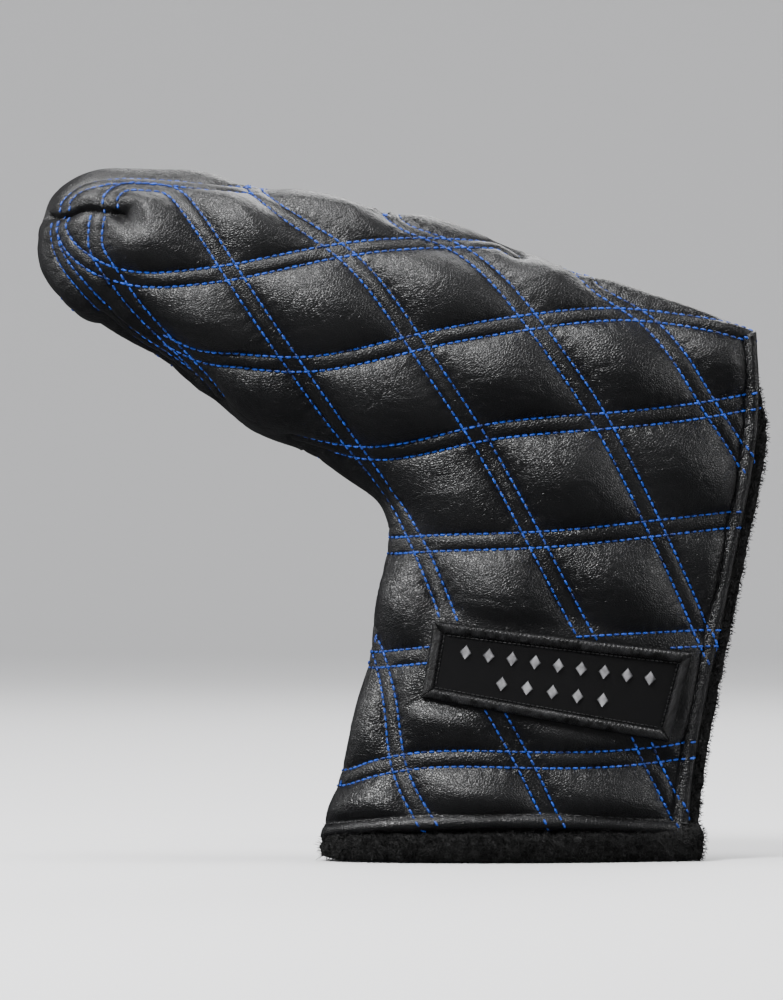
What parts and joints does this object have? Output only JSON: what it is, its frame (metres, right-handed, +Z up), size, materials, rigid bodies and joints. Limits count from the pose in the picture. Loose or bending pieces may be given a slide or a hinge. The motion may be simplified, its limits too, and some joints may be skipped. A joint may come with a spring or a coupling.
{
  "type": "putter head cover",
  "caption": "Quilted leather cover for a blade putter, with a padded toe pocket, a fleece-lined neck and an open edge that folds back.",
  "frame": {"origin": "middle of the cover's overall length and thickness, at the level of the neck's bottom rim", "axes": "+X from the toe towards the open edge, +Y out of the back, so the patch faces -Y, +Z up the neck towards the ridge"},
  "size_m": [0.1955, 0.0468, 0.1878],
  "materials": {
    "leather": "semi-gloss fine-grained black leather",
    "wadding": "soft white polyester wadding",
    "fleece": "matt black pile fleece",
    "blue_thread": "royal blue polyester thread",
    "black_thread": "black polyester thread",
    "tape": "black woven and looped tape",
    "hook_tape": "black nylon hook tape",
    "patch_cloth": "black twill",
    "satin": "black satin stitch with a soft sheen",
    "silver_thread": "silver-grey embroidery thread"
  },
  "bodies": {
    "cover": {"back_edge_stitch": "black_thread", "back_leather": "leather", "back_lining": "fleece", "back_shallow_thread": "blue_thread", "back_steep_thread": "blue_thread", "back_wadding": "wadding", "front_edge_stitch": "black_thread", "front_leather": "leather", "front_lining": "fleece", "front_shallow_thread": "blue_thread", "front_steep_thread": "blue_thread", "front_wadding": "wadding", "loop_strip": "tape", "patch_border": "satin", "patch_cloth": "patch_cloth", "patch_emblem": "silver_thread", "seam_tape": "tape", "toe_seam": "black_thread"},
    "flap": {"flap_edge_stitch": "black_thread", "flap_leather": "leather", "flap_lining": "fleece", "flap_shallow_thread": "blue_thread", "flap_steep_thread": "blue_thread", "flap_wadding": "wadding", "hook_strip": "hook_tape"}
  },
  "joints": [
    {"name": "flap_fold", "type": "hinge", "parent": "cover", "child": "flap", "pos_m": [0.0455, 0.0205, 0.062], "axis": [0.639, 0, 0.7692], "range_deg": [0, 90]}
  ]
}
